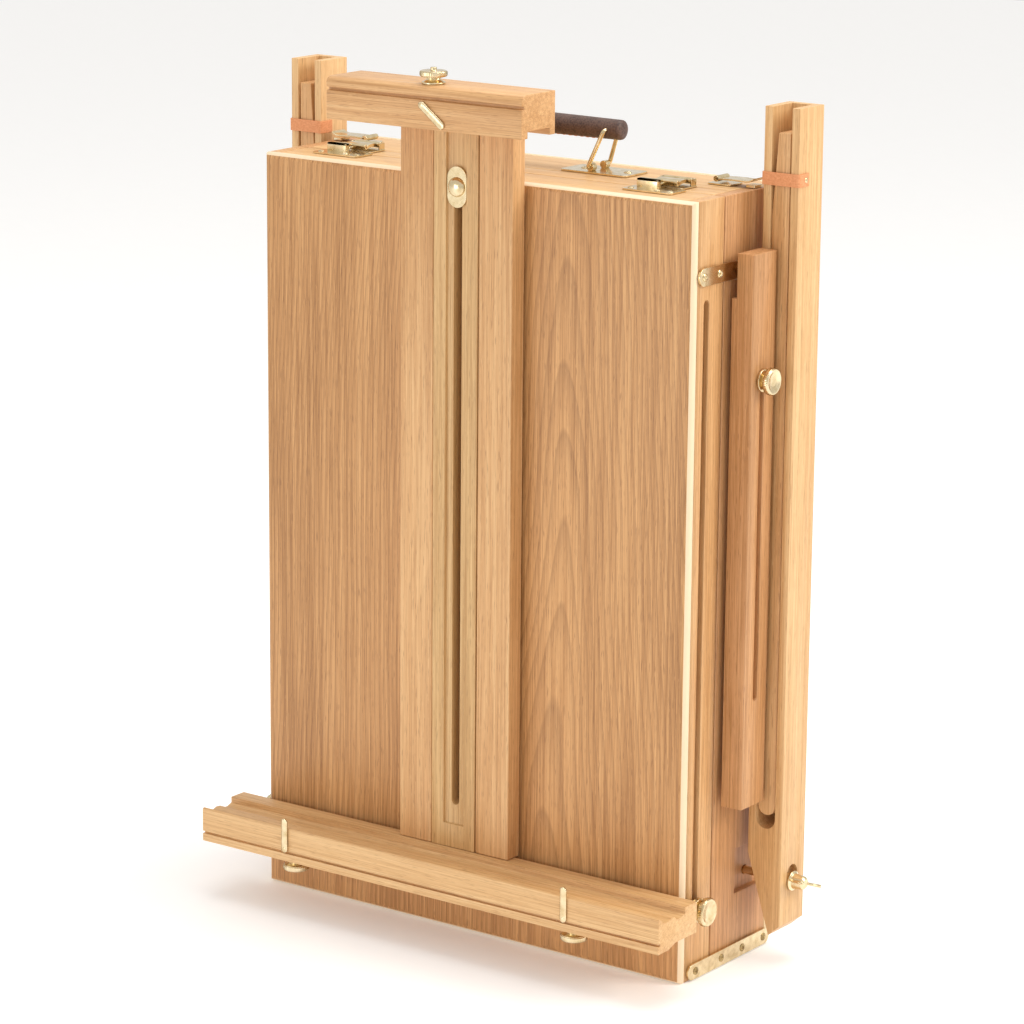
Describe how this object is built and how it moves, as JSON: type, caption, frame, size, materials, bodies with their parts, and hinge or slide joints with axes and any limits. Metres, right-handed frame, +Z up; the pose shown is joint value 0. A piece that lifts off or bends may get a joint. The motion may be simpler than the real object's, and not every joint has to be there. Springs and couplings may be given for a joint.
{
  "type": "box easel",
  "caption": "Closed wooden box easel with a hinged lid, drawer, folding legs, telescopic lid stays and a sliding canvas carrier with a tray, mast and top clamp.",
  "frame": {"origin": "middle of the case's underside, on the end board by the lid hinge", "axes": "+Z up along the closed case towards the handle, -Y towards the canvas side, +X to the right of someone facing the canvas side"},
  "size_m": [0.4926, 0.2106, 0.653],
  "materials": {
    "beech": "clear satin lacquer on honey beech",
    "slat_wood": "clear satin lacquer, yellower",
    "veneer_panel": "satin reddish-brown veneer with a pale edge",
    "plywood": "sanded birch plywood, thinly sealed",
    "brass": "brass-plated steel, soft polish",
    "grip_leather": "dark brown stitched leather"
  },
  "bodies": {
    "case": {"box_side_left": "beech", "box_side_right": "beech", "box_end_board": "beech", "box_front_rail": "beech", "box_back_panel": "plywood", "palette": "plywood", "hinge_strap_left": "brass", "hinge_strap_right": "brass", "rear_leg_bracket": "beech"},
    "lid": {"lid_panel": "veneer_panel", "lid_side_left": "beech", "lid_side_right": "beech", "lid_top_rail": "beech", "lid_bottom_rail": "beech", "stay_plate_left": "brass", "stay_plate_right": "brass", "latch_strike_left": "brass", "latch_strike_right": "brass"},
    "latch_left": {"latch_lever_left": "brass"},
    "latch_right": {"latch_lever_right": "brass"},
    "drawer": {"drawer_front": "beech", "drawer_tray": "plywood", "handle_plate_left": "brass", "handle_plate_right": "brass"},
    "drawer_latch_left": {"drawer_lever_left": "brass"},
    "drawer_latch_right": {"drawer_lever_right": "brass"},
    "bail_left": {"handle_bail_left": "brass"},
    "bail_right": {"handle_bail_right": "brass"},
    "grip": {"handle_grip": "grip_leather"},
    "carrier": {"tray": "beech", "mast_rail_left": "beech", "mast_rail_right": "beech", "mast_bolt": "brass", "tray_bracket_left": "brass", "tray_bracket_right": "brass"},
    "mast": {"mast_slat": "slat_wood", "clamp_head": "beech"},
    "clamp_screw": {"clamp_nut": "brass"},
    "top_clip": {"clamp_clip": "brass"},
    "tray_screw_left": {"tray_nut_left": "brass"},
    "tray_screw_right": {"tray_nut_right": "brass"},
    "clip_left": {"tray_clip_left": "brass"},
    "clip_right": {"tray_clip_right": "brass"},
    "carrier_screw_left": {"carrier_knob_left": "brass"},
    "carrier_screw_right": {"carrier_knob_right": "brass"},
    "stay_left": {"stay_outer_left": "beech"},
    "stay_right": {"stay_outer_right": "beech"},
    "stay_slat_left": {"stay_inner_left": "beech"},
    "stay_slat_right": {"stay_inner_right": "beech"},
    "stay_screw_left": {"stay_knob_left": "brass"},
    "stay_screw_right": {"stay_knob_right": "brass"},
    "side_leg_left": {"leg_left": "beech"},
    "side_leg_right": {"leg_right": "beech"},
    "back_leg": {"leg_rear": "beech"},
    "foot_left": {"leg_foot_left": "beech"},
    "foot_right": {"leg_foot_right": "beech"},
    "foot_back": {"leg_foot_rear": "beech"},
    "wing_left": {"leg_wing_left": "brass"},
    "wing_right": {"leg_wing_right": "brass"},
    "wing_back": {"leg_wing_rear": "brass"}
  },
  "joints": [
    {"name": "lid_hinge", "type": "hinge", "parent": "case", "child": "lid", "pos_m": [0, -0.041, 0.0062], "axis": [1, 0, 0], "range_deg": [0, 115]},
    {"name": "latch_left_lift", "type": "hinge", "parent": "case", "child": "latch_left", "pos_m": [-0.139, -0.0005, 0.5745], "axis": [-1, 0, 0], "range_deg": [0, 110]},
    {"name": "latch_right_lift", "type": "hinge", "parent": "case", "child": "latch_right", "pos_m": [0.139, -0.0005, 0.5745], "axis": [-1, 0, 0], "range_deg": [0, 110]},
    {"name": "drawer_slide", "type": "slide", "parent": "case", "child": "drawer", "axis": [0, 0, 1], "range_m": [0, 0.4]},
    {"name": "drawer_latch_left_lift", "type": "hinge", "parent": "drawer", "child": "drawer_latch_left", "pos_m": [-0.158, 0.026, 0.5745], "axis": [0, 1, 0], "range_deg": [0, 110]},
    {"name": "drawer_latch_right_lift", "type": "hinge", "parent": "drawer", "child": "drawer_latch_right", "pos_m": [0.158, 0.026, 0.5745], "axis": [0, -1, 0], "range_deg": [0, 110]},
    {"name": "handle_swing", "type": "hinge", "parent": "drawer", "child": "bail_right", "pos_m": [0.057, 0.0185, 0.5743], "axis": [0, 1, 0], "range_deg": [-20, 20]},
    {"name": "bail_left_swing", "type": "hinge", "parent": "drawer", "child": "bail_left", "pos_m": [-0.057, 0.0185, 0.5743], "axis": [0, 1, 0], "range_deg": [-21, 21]},
    {"name": "grip_turn", "type": "hinge", "parent": "bail_right", "child": "grip", "pos_m": [0.068, 0.0185, 0.6018], "axis": [0, 1, 0], "range_deg": [-18, 18]},
    {"name": "carrier_slide", "type": "slide", "parent": "lid", "child": "carrier", "axis": [0, 0, 1], "range_m": [0, 0.44]},
    {"name": "mast_slide", "type": "slide", "parent": "carrier", "child": "mast", "axis": [0, 0, 1], "range_m": [0, 0.45]},
    {"name": "clamp_nut_turn", "type": "hinge", "parent": "mast", "child": "clamp_screw", "pos_m": [0, -0.104, 0.6413], "axis": [0, 0, 1], "continuous": true},
    {"name": "clamp_clip_swing", "type": "hinge", "parent": "mast", "child": "top_clip", "pos_m": [0, -0.117, 0.6273], "axis": [0, 1, 0], "range_deg": [-90, 90]},
    {"name": "tray_nut_left_turn", "type": "hinge", "parent": "carrier", "child": "tray_screw_left", "pos_m": [-0.1285, -0.103, 0.0434], "axis": [0, 0, 1], "continuous": true},
    {"name": "tray_nut_right_turn", "type": "hinge", "parent": "carrier", "child": "tray_screw_right", "pos_m": [0.1285, -0.103, 0.0434], "axis": [0, 0, 1], "continuous": true},
    {"name": "tray_clip_left_swing", "type": "hinge", "parent": "carrier", "child": "clip_left", "pos_m": [-0.1285, -0.116, 0.0534], "axis": [0, 1, 0], "range_deg": [-90, 90]},
    {"name": "tray_clip_right_swing", "type": "hinge", "parent": "carrier", "child": "clip_right", "pos_m": [0.1285, -0.116, 0.0534], "axis": [0, 1, 0], "range_deg": [-90, 90]},
    {"name": "carrier_knob_left_turn", "type": "hinge", "parent": "carrier", "child": "carrier_screw_left", "pos_m": [-0.1944, -0.041, 0.053], "axis": [1, 0, 0], "continuous": true},
    {"name": "carrier_knob_right_turn", "type": "hinge", "parent": "carrier", "child": "carrier_screw_right", "pos_m": [0.1944, -0.041, 0.053], "axis": [1, 0, 0], "continuous": true},
    {"name": "stay_left_hinge", "type": "hinge", "parent": "lid", "child": "stay_left", "pos_m": [-0.2, 0, 0.5168], "axis": [1, 0, 0], "range_deg": [0, 8]},
    {"name": "stay_right_hinge", "type": "hinge", "parent": "lid", "child": "stay_right", "pos_m": [0.2, 0, 0.5168], "axis": [1, 0, 0], "range_deg": [0, 8]},
    {"name": "stay_left_slide", "type": "slide", "parent": "stay_left", "child": "stay_slat_left", "axis": [0, 0, -1], "range_m": [0, 0.234]},
    {"name": "stay_right_slide", "type": "slide", "parent": "stay_right", "child": "stay_slat_right", "axis": [0, 0, -1], "range_m": [0, 0.234]},
    {"name": "stay_knob_left_turn", "type": "hinge", "parent": "stay_slat_left", "child": "stay_screw_left", "pos_m": [-0.2128, 0, 0.439], "axis": [1, 0, 0], "continuous": true},
    {"name": "stay_knob_right_turn", "type": "hinge", "parent": "stay_slat_right", "child": "stay_screw_right", "pos_m": [0.2128, 0, 0.439], "axis": [1, 0, 0], "continuous": true},
    {"name": "leg_left_swing", "type": "hinge", "parent": "case", "child": "side_leg_left", "pos_m": [-0.2129, 0.03325, 0.062], "axis": [-1, 0, 0], "range_deg": [0, 110]},
    {"name": "leg_right_swing", "type": "hinge", "parent": "case", "child": "side_leg_right", "pos_m": [0.2129, 0.03325, 0.062], "axis": [-1, 0, 0], "range_deg": [0, 110]},
    {"name": "rear_leg_swing", "type": "hinge", "parent": "case", "child": "back_leg", "pos_m": [0, 0.07605, 0.53], "axis": [1, 0, 0], "range_deg": [0, 70]},
    {"name": "foot_left_slide", "type": "slide", "parent": "side_leg_left", "child": "foot_left", "axis": [0, 0, 1], "range_m": [0, 0.36]},
    {"name": "foot_right_slide", "type": "slide", "parent": "side_leg_right", "child": "foot_right", "axis": [0, 0, 1], "range_m": [0, 0.36]},
    {"name": "foot_back_slide", "type": "slide", "parent": "back_leg", "child": "foot_back", "axis": [0, 0, -1], "range_m": [0, 0.32]},
    {"name": "wing_left_turn", "type": "hinge", "parent": "case", "child": "wing_left", "pos_m": [-0.2273, 0.03325, 0.062], "axis": [1, 0, 0], "continuous": true},
    {"name": "wing_right_turn", "type": "hinge", "parent": "case", "child": "wing_right", "pos_m": [0.2273, 0.03325, 0.062], "axis": [1, 0, 0], "continuous": true},
    {"name": "wing_back_turn", "type": "hinge", "parent": "case", "child": "wing_back", "pos_m": [0.0255, 0.07605, 0.53], "axis": [1, 0, 0], "continuous": true}
  ],
  "couplings": [
    {"joint": "stay_left_hinge", "follows": "lid_hinge", "ratio": 0.0517},
    {"joint": "stay_right_hinge", "follows": "lid_hinge", "ratio": 0.0517},
    {"joint": "stay_left_slide", "follows": "lid_hinge", "m_per_rad": 0.115},
    {"joint": "stay_right_slide", "follows": "lid_hinge", "m_per_rad": 0.115},
    {"joint": "bail_left_swing", "follows": "handle_swing", "ratio": 1},
    {"joint": "grip_turn", "follows": "handle_swing", "ratio": -0.838}
  ]
}
